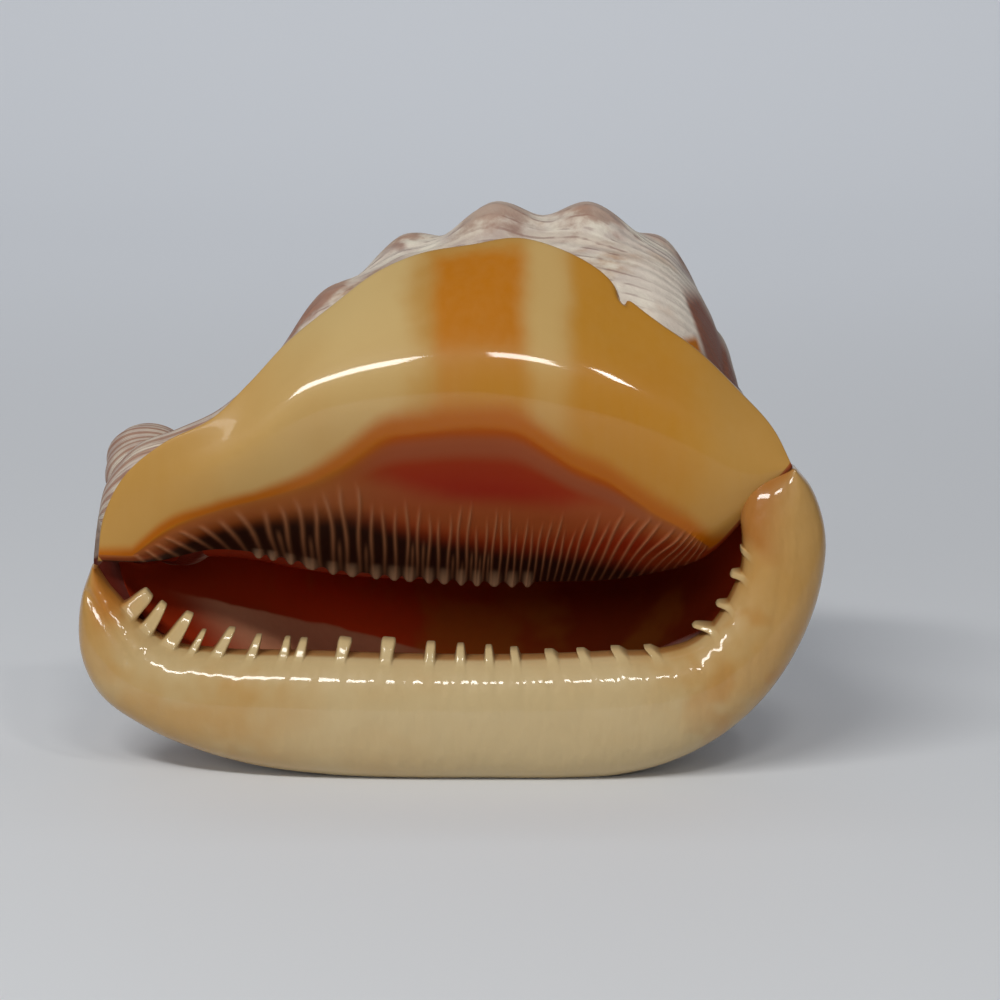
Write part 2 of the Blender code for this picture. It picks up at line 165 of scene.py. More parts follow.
class Paint:    # one material and its nodes
    def __init__(self, name, settings):
        self.material = bpy.data.materials.new(name)
        self.material.use_nodes = True
        self.tree = self.material.node_tree
        self.surface = self.tree.nodes["Principled BSDF"]
        for socket, value in settings.items():
            self.surface.inputs[socket].default_value = value

    def feed(self, target, value):
        if isinstance(value, Amount):
            self.tree.links.new(value.socket, target)
        else:
            target.default_value = value

    def node(self, kind, settings=None, sockets=None, output=0):
        made = self.tree.nodes.new(kind)
        for name, value in (settings or {}).items():
            if name == "stops":    # of a colour ramp
                stops = made.color_ramp.elements
                while len(stops) < len(value):
                    stops.new(0.5)
                for stop, (place, colour) in zip(stops, value):
                    stop.position, stop.color = place, colour
            else:
                setattr(made, name, value)
        for name, value in (sockets or {}).items():
            self.feed(made.inputs[name], value)
        return Amount(self, made.outputs[output])

    def mark(self, name):
        return self.node("ShaderNodeAttribute", {"attribute_name": name}, output="Fac")

    def place(self):    # in millimetres, from the middle of the shell's foot
        spot = self.node("ShaderNodeTexCoord", output="Object")
        return self.node("ShaderNodeVectorMath", {"operation": "SCALE"}, {0: spot, "Scale": float(mm)})

    def apart(self, vector):
        return [self.node("ShaderNodeSeparateXYZ", sockets={0: vector}, output=i) for i in range(3)]

    def noise(self, vector, scale, detail=3.0, rough=0.5):
        sockets = {"Vector": vector, "Scale": scale, "Detail": detail, "Roughness": rough}
        return self.node("ShaderNodeTexNoise", sockets=sockets)

    def stretched(self, vector, factors):
        return self.node("ShaderNodeVectorMath", {"operation": "MULTIPLY"}, {0: vector, 1: factors})

    def between(self, low, high, value):    # 0 below low, 1 above high
        return self.node(
            "ShaderNodeMapRange", {"interpolation_type": "SMOOTHSTEP"},
            {"Value": value, "From Min": low, "From Max": high},
        )

    def mix(self, amount, first, second):
        return self.node("ShaderNodeMix", {"data_type": "RGBA"}, {0: amount, 6: first, 7: second}, output=2)

    def ramp(self, value, stops):
        return self.node("ShaderNodeValToRGB", {"stops": stops}, {0: value})

    def bump(self, height, distance, strength=1.0):
        sockets = {"Height": height, "Distance": distance, "Strength": strength}
        self.feed(self.surface.inputs["Normal"], self.node("ShaderNodeBump", sockets=sockets))

    def colour(self, value):
        self.feed(self.surface.inputs["Base Color"], value)
        return self.material


def pigment(red, green, blue, gain=1.15):    # a colour as the eye reads it in soft light
    lit = [((c / 255 + 0.055) / 1.055) ** 2.4 if c > 10 else c / 255 / 12.92 for c in (red, green, blue)]
    return (*[min(c * gain, 0.95) for c in lit], 1)


# the last whorl, with its knobs and spire

whorlShape = {
    "columns": 300,
    "rows": 190,
    "axisX": (-0.076, -0.050, -0.020, 0.010, 0.040, 0.068),
    "axisY": (0.027, 0.034, 0.043, 0.047, 0.047, 0.045),
    "axisZ": (0.048, 0.051, 0.055, 0.058, 0.061, 0.064),
    # position along X and radius, from the canal to the spire, where the whorl is round
    "round": (
        (-0.0745, 0.0), (-0.0725, 0.0075), (-0.066, 0.0145), (-0.058, 0.0165), (-0.050, 0.0190),
        (-0.042, 0.0245), (-0.031, 0.0350), (-0.019, 0.0430), (-0.004, 0.0480), (0.014, 0.0490),
        (0.030, 0.0475), (0.042, 0.0430), (0.0505, 0.0345), (0.0545, 0.0275), (0.0575, 0.0215),
        (0.0600, 0.0140), (0.0625, 0.0070), (0.0640, 0.0),
    ),
    # the same where it flares out to the lip, with the angle at which each point ends
    "mouth": (
        (-0.0745, 0.0), (-0.0742, 0.0090), (-0.0736, 0.0170), (-0.0730, 0.0210), (-0.0710, 0.0270),
        (-0.0660, 0.0335), (-0.0570, 0.0397), (-0.0450, 0.0465), (-0.0300, 0.0520), (-0.0100, 0.0570),
        (0.0100, 0.0600), (0.0300, 0.0600), (0.0480, 0.0560), (0.0580, 0.0530), (0.0630, 0.0500),
        (0.0680, 0.0450), (0.0705, 0.0400), (0.0715, 0.0360), (0.0710, 0.0310), (0.0700, 0.0230),
        (0.0675, 0.0120), (0.0640, 0.0),
    ),
    "mouthAngle": (
        335, 335, 335, 327, 319, 314, 312, 312, 314, 315, 315, 315, 316, 317, 319, 325, 333, 342, 350,
        352, 352, 352,
    ),
    "flareFrom": 205,
    "stepAngle": 4,
    # growth round the axis: 0 faces front, 90 up, 180 back, 270 down
    "growthAngle": (
        -200, -120, -60, -40, -20, 0, 22, 45, 60, 75, 90, 115, 150, 190, 225, 255, 275, 295, 316,
    ),
    "growth": (
        0.25, 0.45, 0.58, 0.62, 0.66, 0.74, 0.86, 0.93, 0.95, 0.972, 0.99, 1.0, 0.97, 0.95, 0.99, 1.058,
        1.08, 1.13, 1.21,
    ),
    # the share of that growth which each place along X takes
    "growingAt": (-0.075, -0.060, -0.040, 0.040, 0.054, 0.066),
    "growing": (0, 0.25, 1, 1, 0.45, 0),
    # knob rows: position along X, height, half-width, how many in a turn, first angle
    "knobRows": (
        (0.046, 0.0032, 0.0062, 12, 14.0),
        (0.029, 0.0052, 0.0088, 11, 28.5),
        (0.009, 0.0060, 0.0088, 11, 28.5),
        (-0.011, 0.0042, 0.0078, 11, 8.0),
        (-0.028, 0.0028, 0.0065, 10, 20.0),
    ),
    "knobsFrom": 84,
    "knobsTo": 270,
    "cordHeight": 0.0005,     # the low ridge that joins the knobs of a row
    "cordWidth": 0.0030,
    "growthLineHeight": 0.00016,
    "linesTurn": (20, 80),    # where they fade in, by angle, and out towards both ends, along X
    "linesLeft": (-0.068, -0.055),
    "linesRight": (0.046, 0.054),
    "spireFrom": 0.0480,
    "spireFull": 0.0520,
    "spireRadius": 0.0345,
    "spireTurns": 3.0,
    "spireGroove": 0.0011,
    "spireBeads": 0.0005,
}


def onAxis(x, angle, radius):
    turn = np.radians(angle)
    depth = smoothCurve(whorlShape["axisX"], whorlShape["axisY"], x) - radius * np.cos(turn)
    height = smoothCurve(whorlShape["axisX"], whorlShape["axisZ"], x) + radius * np.sin(turn)
    return np.stack([x, depth, height], axis=-1)


def mouthAngle(share):
    return smoothCurve(lengthShares(whorlShape["mouth"]), whorlShape["mouthAngle"], share)


def whorlSection(angle, share):
    outline = follow(whorlShape["round"], share)
    growing = smoothCurve(whorlShape["growingAt"], whorlShape["growing"], outline[:, 0])
    grown = smoothCurve(whorlShape["growthAngle"], whorlShape["growth"], angle)
    plain = np.stack([outline[:, 0], outline[:, 1] * (1 + (grown - 1) * growing)], axis=-1)
    flareFrom = whorlShape["flareFrom"]
    flare = np.clip((angle - flareFrom) / (mouthAngle(share) - flareFrom), 0, 1)[:, None] ** 2
    return plain + (follow(whorlShape["mouth"], share) - plain) * flare


def whorlKnobs(x, angle, radius):
    height, cap = np.zeros_like(x), np.zeros_like(x)
    cord = np.zeros_like(x)
    onBack = fade(whorlShape["knobsFrom"] - 14, whorlShape["knobsFrom"] + 6, angle)
    onBack = onBack * (1 - fade(whorlShape["knobsTo"] - 4, whorlShape["knobsTo"] + 16, angle))
    for row, (rowX, tall, halfWidth, count, first) in enumerate(whorlShape["knobRows"]):
        pitch = 360 / count
        off = (angle - first + pitch / 2) % pitch - pitch / 2
        centre = angle - off
        around = np.radians(off) * radius / halfWidth
        reach = np.sqrt(((x - rowX) / halfWidth) ** 2 + around**2)
        bump = np.exp(-(reach**2) ** 1.3)
        shown = (centre > whorlShape["knobsFrom"]) & (centre < whorlShape["knobsTo"])
        height += tall * bump * shown
        cap = np.maximum(cap, bump * shown * (0.55 + 0.45 * scatter(np.round(centre), row)))
        cord += np.exp(-(((x - rowX) / whorlShape["cordWidth"]) ** 2))
    return height + whorlShape["cordHeight"] * cord * onBack, cap


# the left end of the mouth, above the lip and below the shield, with a step up in its top
mouthEnd = {
    "right": -0.04,
    "bottom": (0.024, 0.028),
    "top": 0.0430,
    "topStep": 0.0035,
    "stepX": -0.066,
    "back": (0.024, 0.027),
}


def mouthward(point):    # 1 there and 0 elsewhere
    x, y, z = point.T
    top = mouthEnd["top"] + mouthEnd["topStep"] * (x > mouthEnd["stepX"])
    low = fade(*mouthEnd["bottom"], z) * (1 - fade(top - 0.002, top, z)) * (x < mouthEnd["right"])
    return low * (1 - fade(*mouthEnd["back"], y))


def whorlPlace(around, along):
    # one turn, and the grid's last column goes back to its first
    last = 1 - 1 / whorlShape["columns"]
    end = mouthAngle(along)
    first = end - 360 + whorlShape["stepAngle"]
    turned = np.minimum(around / last, 1)
    angle = first + turned * (end - first)
    angle = np.where(around > last + 0.5 / whorlShape["columns"], first, angle)
    x, radius = whorlSection(angle, along).T
    knobHeight, cap = whorlKnobs(x, angle, radius)
    # fine growth lines, a little askew
    lines = np.sin(np.radians(angle * 70 + 22 * np.sin(x * 260) + x * 21000))
    lines = lines * (0.5 + 0.5 * np.sin(np.radians(angle * 9 + x * 3000)))
    onBack = fade(*whorlShape["linesTurn"], angle) * (1 - fade(*whorlShape["linesRight"], x))
    onBack = onBack * fade(*whorlShape["linesLeft"], x)
    relief = knobHeight + whorlShape["growthLineHeight"] * lines * onBack
    # the spire's whorls: a groove that winds in to its tip
    spire = fade(whorlShape["spireFrom"], whorlShape["spireFull"], x) * fade(0.0, 0.006, radius)
    winding = (radius / whorlShape["spireRadius"]) ** 0.8 * whorlShape["spireTurns"] - angle / 360
    groove = np.exp(-((np.abs((winding % 1) - 0.5) - 0.5) / 0.13) ** 2)
    beads = np.cos(np.radians(angle * 13)) * np.exp(-(((winding % 1) - 0.55) / 0.2) ** 2)
    relief = relief + spire * (whorlShape["spireBeads"] * beads - whorlShape["spireGroove"] * groove)
    point = onAxis(x, angle, radius + relief)
    # dark as the inside, and darker still as painted shade: where the whorl starts within the mouth, the
    # mouth's left end and its rim there
    leftEnd = (x < -0.06) & (point[:, 2] > 0.044)
    rim = (turned >= 1) & (x < -0.04) & (point[:, 2] < 0.0425)
    coiled = (1 - fade(30, 50, angle - first)) * ~leftEnd
    inner = np.maximum(np.maximum(coiled, mouthward(point) * (turned < 0.5)), rim)
    marks = {"cap": cap, "growth": angle / 360, "spire": spire * groove, "outer": 1 - inner}
    return point, marks


# the coiled hollow inside it

hollowShape = {
    "columns": 72,
    "rows": 130,
    "angle": (-200, -120, -40, 40, 120, 200, 270, 316, 340),
    "from": (0.45, 0.42, 0.36, 0.30, 0.24, 0.18, 0.12, 0.08, 0.08),
    "to": (0.74, 0.76, 0.78, 0.80, 0.81, 0.82, 0.84, 0.86, 0.86),
    "inner": (0.10, 0.14, 0.20, 0.27, 0.34, 0.39, 0.46, 0.56, 0.58),
    "wall": (0.0030, 0.0050, 0.0068, 0.0055, 0.0036, 0.0036, 0.0036, 0.0036, 0.0036),
    "beyond": 22,       # degrees that it runs on past the mouth's edge
    "middle": 0.56,     # where both its ends are drawn together
}


def hollowPlace(around, along):
    turn = 2 * math.pi * around
    knots = hollowShape["angle"]
    inside = knots[0] + along * (knots[-1] - knots[0])
    start = smoothCurve(knots, hollowShape["from"], inside)
    end = smoothCurve(knots, hollowShape["to"], inside)
    share = (start + end) / 2 - (end - start) / 2 * swell(np.cos(turn), 0.8)
    last = mouthAngle(share) + hollowShape["beyond"]
    angle = knots[0] + along * (last - knots[0])
    outer = whorlSection(angle, share)
    before, after = np.maximum(share - 0.01, 0), np.minimum(share + 0.01, 1)
    ahead = whorlSection(angle, after) - whorlSection(angle, before)
    ahead /= np.linalg.norm(ahead, axis=1)[:, None]
    wall = smoothCurve(knots, hollowShape["wall"], inside)[:, None]
    outer = outer - wall * np.stack([-ahead[:, 1], ahead[:, 0]], axis=-1)
    inner = follow(whorlShape["round"], share)
    inner[:, 1] *= smoothCurve(knots, hollowShape["inner"], inside)
    point = (outer + inner) / 2 + (outer - inner) / 2 * swell(np.sin(turn), 0.7)[:, None]
    closing = (along < 1e-6) | (along > 1 - 1e-6)
    middle = np.full_like(along, hollowShape["middle"])
    core = (whorlSection(inside, middle) + follow(whorlShape["round"], middle) * 0.5) / 1.5
    point[closing] = core[closing]
    angle = np.where(closing, inside, angle)
    return onAxis(point[:, 0], angle, point[:, 1]), {}


# the turned-up canal at the left end, and the channel through it

canalShape = {
    "columns": 72,
    "rows": 72,
    "route": (
        (-0.052, 0.022, 0.046), (-0.061, 0.033, 0.050), (-0.0650, 0.043, 0.0555), (-0.065, 0.051, 0.061),
    ),
    "radius": 0.0095,
    "ribs": 0.0002,
    "channelColumns": 48,
    "channelRows": 60,
    "channel": (
        (-0.050, 0.012, 0.036), (-0.060, 0.018, 0.041), (-0.067, 0.028, 0.046), (-0.070, 0.041, 0.052),
        (-0.0695, 0.054, 0.0645),
    ),
    "channelRadius": 0.0045,
}


def tubePlace(route, radius, ribs=0.0):
    def place(around, along):
        turn = 2 * math.pi * around
        centre = follow(route, along)
        ahead = follow(route, np.minimum(along + 0.02, 1)) - follow(route, np.maximum(along - 0.02, 0))
        ahead /= np.linalg.norm(ahead, axis=1)[:, None]
        side = np.cross(ahead, (0, 0, 1))
        side /= np.linalg.norm(side, axis=1)[:, None]
        over = np.cross(side, ahead)
        ribbed = ribs * np.sin(along * 46 + 0.6 * np.sin(turn))
        ribbed = ribbed * fade(0, 0.1, along) * (1 - fade(0.9, 1, along))
        size = radius * np.clip(1 - (2 * along - 1) ** 8, 0, 1) ** 0.5 + ribbed
        spot = centre + size[:, None] * (side * np.cos(turn)[:, None] + over * np.sin(turn)[:, None])
        zero = np.zeros_like(along)
        # its mouth side takes the same painted shade as the whorl's inside
        return spot, {"cap": zero, "growth": along, "spire": zero, "outer": 1 - mouthward(spot)}
    return place


# the shield: rails from its left tip to its right corner, from the ridged lower edge to the top edge

leftTip = (-0.0724, 0.0090, 0.0428)
rightCorner = (0.0694, 0.0080, 0.0625)
shieldShape = {
    "columns": 620,
    "rows": 150,
    "frontRows": 112,
    "edge": 0.0028,
    "railShare": (0, 0.25, 0.5, 0.78, 1),
    "rails": (
        (
            leftTip, (-0.0618, 0.0100, 0.0424), (-0.0488, 0.0140, 0.0442), (-0.0377, 0.0170, 0.0424),
            (-0.0254, 0.0190, 0.0390), (-0.0110, 0.0210, 0.0371), (0.0162, 0.0220, 0.0356),
            (0.0390, 0.0190, 0.0375), (0.0522, 0.0140, 0.0425), (0.0599, 0.0090, 0.0514), rightCorner,
        ),
        (
            leftTip, (-0.0665, 0.0084, 0.0460), (-0.0594, 0.0080, 0.0490), (-0.0472, 0.0080, 0.0530),
            (-0.0309, 0.0085, 0.0570), (-0.0187, 0.0090, 0.0595), (-0.0065, 0.0095, 0.0610),
            (0.0099, 0.0100, 0.0600), (0.0222, 0.0095, 0.0560), (0.0344, 0.0090, 0.0525),
            (0.0467, 0.0080, 0.0500), (0.0580, 0.0065, 0.0550), rightCorner,
        ),
        (
            leftTip, (-0.0700, 0.0088, 0.0480), (-0.0600, 0.0076, 0.0560), (-0.0450, 0.0056, 0.0635),
            (-0.0250, 0.0045, 0.0745), (-0.0050, 0.0040, 0.0780), (0.0100, 0.0038, 0.0785),
            (0.0250, 0.0040, 0.0768), (0.0400, 0.0045, 0.0718), (0.0520, 0.0050, 0.0655),
            (0.0610, 0.0060, 0.0615), rightCorner,
        ),
        (
            leftTip, (-0.0710, 0.0090, 0.0500), (-0.0630, 0.0082, 0.0600), (-0.0470, 0.0074, 0.0670),
            (-0.0270, 0.0095, 0.0840), (-0.0080, 0.0125, 0.0930), (0.0100, 0.0138, 0.0950),
            (0.0250, 0.0134, 0.0910), (0.0400, 0.0104, 0.0820), (0.0520, 0.0085, 0.0740),
            (0.0620, 0.0080, 0.0670), rightCorner,
        ),
        (
            leftTip, (-0.0713, 0.0095, 0.0512), (-0.0668, 0.0090, 0.0602), (-0.0587, 0.0088, 0.0671),
            (-0.0487, 0.0098, 0.0721), (-0.0415, 0.0130, 0.0787), (-0.0333, 0.0168, 0.0872),
            (-0.0251, 0.0198, 0.0936), (-0.0149, 0.0242, 0.1008), (-0.0066, 0.0270, 0.1040),
            (0.0037, 0.0280, 0.1057), (0.0140, 0.0280, 0.1071), (0.0223, 0.0265, 0.1050),
            (0.0306, 0.0235, 0.1007), (0.0357, 0.0205, 0.0958), (0.0429, 0.0175, 0.0904),
            (0.0490, 0.0160, 0.0863), (0.0590, 0.0135, 0.0770), (0.0658, 0.0105, 0.0696), rightCorner,
        ),
    ),
    # how far its back swells out towards the whorl, along its length
    "bulkAt": (0, 0.1, 0.2, 0.5, 0.75, 0.88, 0.96, 1),
    "bulk": (0, 0.006, 0.008, 0.009, 0.013, 0.024, 0.020, 0),
    # the ridges lean in towards the middle as they go down
    "fanAt": (0, 0.1, 0.15, 0.2, 0.25, 0.35, 0.45, 0.6, 0.7, 0.8, 0.87, 0.93, 1),
    "fan": (0, 0.036, 0.030, 0.014, 0.000, -0.016, -0.027, -0.042, -0.068, -0.100, -0.110, -0.065, 0),
    "fanTop": 0.24,
    "rounding": 0.26,         # how far to each side of it a bend between the rails is rounded off
    # the ridges, counted from the left along the lower edge: they stand closer right of the middle
    "ridgeX": (-0.0630, -0.0317, -0.0130, 0.0037, 0.0307, 0.0515),
    "ridgeCount": (0, 9.5, 16.5, 24.5, 42, 51.5),
    "ridgeHeight": 0.00045,
    "ridgeWidth": 0.15,       # half the width of a crest, as a share of the ridge's pitch
    "ridgeWander": 0.20,
    "ridgeLength": 0.80,
    "lengthSpread": 0.32,
    "columnsPerRidge": 9,
    # a few short ridges stand between them, left of the middle
    "shortX": -0.014,
    "shortReach": 0.024,
    "shortLength": 0.30,
    # height of the dark stain's upper edge and of the ridges' upper ends, across the front
    "stainX": (
        -0.0653, -0.0592, -0.0471, -0.0329, -0.0247, -0.0187, -0.0146, -0.0045, 0.0057, 0.0138,
        0.0199, 0.0249, 0.0320, 0.0402, 0.0483, 0.0533,
    ),
    "stainTop": (
        0.0440, 0.0490, 0.0540, 0.0580, 0.0620, 0.0660, 0.0690, 0.0714, 0.0720, 0.0710,
        0.0670, 0.0634, 0.0600, 0.0540, 0.0490, 0.0450,
    ),
    "ridgeTopX": (
        -0.065, -0.047, -0.033, -0.025, -0.015, -0.004, 0.006, 0.020, 0.032, 0.040, 0.048, 0.053,
    ),
    "ridgeTop": (
        0.0440, 0.0535, 0.0570, 0.0580, 0.0570, 0.0540, 0.0525, 0.0520, 0.0535, 0.0530, 0.0490, 0.0450,
    ),
    # how far up the ridges the dark between them reaches
    "darkX": (-0.062, -0.052, -0.042, -0.032, -0.021, -0.011, -0.003, 0.010, 0.020, 0.031, 0.041, 0.052),
    "dark": (0.25, 0.5, 0.62, 0.72, 0.75, 0.62, 0.58, 0.53, 0.5, 0.36, 0.17, 0.1),
    # beads along the lower edge
    "beadX": (
        -0.0401, -0.0372, -0.0336, -0.0295, -0.0249, -0.0209, -0.0159, -0.0122, -0.0090, -0.0049,
        -0.0018, 0.0018, 0.0051, 0.0087, 0.0124, 0.0157,
    ),
    "beadDrop": 0.0011,
    "beadWidth": 0.0010,
    "wideBead": 3,
    "beadOut": 0.0006,
    # a nick in the top edge, right of the middle
    "nickX": 0.0350,
    "nickDepth": 0.0016,
    "nickWidth": 0.0011,
    "nickFrom": 0.955,        # how far up the shield it starts
}


def betweenRails(rails, up):
    knots = np.array(shieldShape["railShare"])
    slopes = np.gradient(rails, knots, axis=0)
    i = np.clip(np.searchsorted(knots, up, side="right") - 1, 0, len(knots) - 2)
    here = np.arange(rails.shape[1])
    span = (knots[i + 1] - knots[i])[:, None]
    t = (up - knots[i])[:, None] / span
    rise = (3 - 2 * t) * t * t
    return (
        rails[i, here] * (1 - rise) + rails[i + 1, here] * rise
        + span * t * (1 - t) * ((1 - t) * slopes[i, here] - t * slopes[i + 1, here])
    )


def roundedRails(rails, up):    # the same with its bends rounded off, and its two edges kept
    reach = np.minimum(1, np.minimum(up, 1 - up) / shieldShape["rounding"])
    point, total = np.zeros((rails.shape[1], 3)), 0.0
    for step in range(-3, 4):
        share = math.exp(-((step / 1.8) ** 2))
        point += share * betweenRails(rails, up + step / 3 * reach * shieldShape["rounding"])
        total += share
    return point / total


def shieldPlace(across, around):
    shape = shieldShape
    lowEdge = shape["rails"][0]
    fine = np.linspace(0, 1, 2001)
    edge = follow(lowEdge, fine + smoothCurve(shape["fanAt"], shape["fan"], fine))
    count = smoothCurve(shape["ridgeX"], shape["ridgeCount"], edge[:, 0])
    ridged = (edge[:, 0] > shape["ridgeX"][0]) & (edge[:, 0] < shape["ridgeX"][-1])
    plain = shape["columns"] - shape["columnsPerRidge"] * shape["ridgeCount"][-1]
    spread = shape["columnsPerRidge"] * count + plain * fine    # more columns where the ridges are
    along = np.interp(across * spread[-1], spread, fine)
    ridge = np.interp(along, fine, count)
    inRidges = np.interp(along, fine, ridged.astype(float))

    around = np.interp(around, (0, shape["frontRows"] / shape["rows"], 1), (0, 0.5, 1))
    turn = 2 * math.pi * around
    up = (1 - np.cos(turn)) / 2
    front = np.sin(turn) > 1e-6
    lean = smoothCurve(shape["fanAt"], shape["fan"], along) * np.clip(1 - up / shape["fanTop"], 0, 1)
    rails = np.stack([follow(rail, along + lean) for rail in shape["rails"]])
    point = roundedRails(rails, up)
    narrow = np.minimum(1, 9 * along * (1 - along)) ** 0.5
    half = shape["edge"] / 2 * narrow * (0.4 + 0.6 * fade(0.12, 0.3, along))
    point[:, 1] += half - half * swell(np.sin(turn), 0.5)
    point[:, 1] += smoothCurve(shape["bulkAt"], shape["bulk"], along) * np.clip(-np.sin(turn), 0, 1)

    # where each point lies between the lower edge, the ridges' ends and the stain's edge
    x, z = point[:, 0], point[:, 2]
    bottom = np.interp(x, edge[:, 0], edge[:, 2])
    top = smoothCurve(shape["ridgeTopX"], shape["ridgeTop"], x)
    stain = smoothCurve(shape["stainX"], shape["stainTop"], x)
    rise = (z - bottom) / np.maximum(top - bottom, 0.0015)
    zone = (z - bottom) / np.maximum(stain - bottom, 0.0015)

    number = np.round(ridge)
    wander = shape["ridgeWander"] * np.sin(5.5 * rise + 6.28 * scatter(number, 1)) * fade(-0.052, -0.036, x)
    off = ridge - number - wander * np.clip(rise, 0, 1)
    length = shape["ridgeLength"] + shape["lengthSpread"] * scatter(number, 2)
    crest = np.exp(-((off / shape["ridgeWidth"]) ** 2)) * (1 - fade(length - 0.28, length, rise))
    gap = np.floor(ridge)
    chosen = (scatter(gap, 3) > 0.55) * (np.abs(x - shape["shortX"]) < shape["shortReach"])
    short = chosen * (shape["shortLength"] + 0.3 * scatter(gap, 4))
    shortCrest = 0.8 * np.exp(-(((ridge - gap - 0.5) / shape["ridgeWidth"]) ** 2)) * (short > 0)
    crest = np.maximum(crest, shortCrest * (1 - fade(short - 0.2, short, rise)))
    crest = crest * inRidges * front * (0.45 + 0.55 * fade(0.05, 0.45, rise))
    hollowed = inRidges * front * (1 - fade(0.5, 1.0, rise))
    point[:, 1] -= shape["ridgeHeight"] * (crest - 0.4 * hollowed)

    bead = np.zeros_like(x)
    for i, beadX in enumerate(shape["beadX"]):
        wide = shape["beadWidth"] * (1.5 if i == shape["wideBead"] else 0.9 + 0.3 * scatter(i, 5))
        bead = np.maximum(bead, np.exp(-(np.abs((x - beadX) / wide) ** 2.6)))
    low = np.clip(1 - up / 0.022, 0, 1) ** 0.7
    nearEdge = np.clip(1 - up / 0.03, 0, 1)
    point[:, 2] -= shape["beadDrop"] * bead * low
    point[:, 1] -= shape["beadOut"] * bead * nearEdge * front
    nick = np.exp(-(((x - shape["nickX"]) / shape["nickWidth"]) ** 2)) * fade(shape["nickFrom"], 1.0, up)
    point[:, 2] -= shape["nickDepth"] * nick
    dark = smoothCurve(shape["darkX"], shape["dark"], x)
    stained = front | (up < 0.06)    # the stain goes round the lower edge
    marks = {
        "zone": np.where(stained, zone, 3.0),
        "stainRise": np.where(stained, z - stain, 0.03) * mm,
        "dark": rise - dark,
        "rise": rise,
        "crest": crest,
        "bead": bead * nearEdge,
        "nick": nick,
    }
    return point, marks


# the rolled outer lip with its teeth

lipShape = {
    "columns": 1100,
    "rows": 84,
    "depth": 0.0092,
    # inner and outer edge, from the left end round the bottom to the right end: X and Z
    "inner": (
        (-0.0728, 0.0412), (-0.0706, 0.0378), (-0.0677, 0.0346), (-0.0622, 0.0292), (-0.0572, 0.0264),
        (-0.0474, 0.0252), (-0.0307, 0.0253), (-0.0135, 0.0250), (0.0071, 0.0248), (0.0201, 0.0250),
        (0.0335, 0.0255), (0.0424, 0.0258), (0.0492, 0.0277), (0.0530, 0.0308), (0.0565, 0.0362),
        (0.0590, 0.0425), (0.0592, 0.0480), (0.0590, 0.0535), (0.0615, 0.0590), (0.0690, 0.0622),
    ),
    "outer": (
        (-0.0738, 0.0416), (-0.0759, 0.0355), (-0.0766, 0.0297), (-0.0760, 0.0232), (-0.0730, 0.0166),
        (-0.0625, 0.0089), (-0.0520, 0.0047), (-0.0415, 0.0020), (-0.0249, 0.0000), (-0.0106, -0.0006),
        (0.0058, -0.0006), (0.0222, -0.0006), (0.0345, 0.0002), (0.0450, 0.0029), (0.0558, 0.0086),
        (0.0650, 0.0172), (0.0717, 0.0278), (0.0755, 0.0387), (0.0764, 0.0477), (0.0752, 0.0538),
        (0.0731, 0.0585), (0.0706, 0.0615),
    ),
    "share": (0, 0.1, 0.25, 0.5, 0.75, 0.9, 1),
    "middle": (0.0120, 0.0085, 0.0040, 0.0015, 0.0035, 0.0080, 0.0120),
    "fullness": (0.45, 0.75, 0.95, 1.0, 0.95, 0.75, 0.45),
    "toothHeight": 0.0032,
    "toothWidth": 0.00078,
    "topSpread": 0.0008,
    # where a tooth rises, from 1 at the inner edge to -1 at the outer one: on the front and behind
    "crestFront": (0.90, 1.0),
    "crestBehind": (0.82, 1.0),
    "rib": (0.70, 0.98),      # each tooth runs on as a low rib down the front
    "ribHeight": 0.0003,
    "waveHeight": 0.00009,    # the gloss runs along the lip in uneven waves
    # teeth: share of the inner edge's length, height, lean along the edge, width, spread of the top
    "teeth": (
        (0.065, 1.6, -0.7, 1.9, 0.3), (0.094, 1.7, -1.0, 1.5, 0), (0.126, 2.1, -0.7, 1.7, 0),
        (0.155, 1.2, -0.6, 0.9, 0), (0.185, 1.6, -0.3, 1.3, 0.1), (0.225, 1.1, -0.4, 1.1, 0),
        (0.263, 0.9, -0.5, 1.0, 0), (0.282, 0.85, -0.3, 1.1, 0.1), (0.331, 1.0, -0.1, 1.2, 0.9),
        (0.384, 1.05, -0.1, 1.3, 0.9), (0.435, 0.85, 0, 1.1, 0.3), (0.471, 0.75, 0, 1.1, 0),
        (0.505, 0.65, 0, 1.0, 0), (0.536, 0.5, -0.2, 1.0, 0.2), (0.579, 0.34, -0.9, 1.3, 0),
        (0.617, 0.34, -1.0, 1.2, 0), (0.660, 0.42, -1.1, 1.4, 0), (0.700, 0.48, -1.2, 1.1, 0),
        (0.773, 0.75, -2.0, 0.8, 0), (0.806, 0.42, -2.0, 0.7, 0), (0.844, 0.42, -1.6, 0.8, 0.2),
        (0.872, 0.15, 0, 0.8, 0),
    ),
    # a crease across the left end: both its ends, X and Z
    "crease": ((-0.0742, 0.0365), (-0.0640, 0.0215)),
    "creaseDepth": 0.0007,
    "creaseWidth": 0.0010,
}


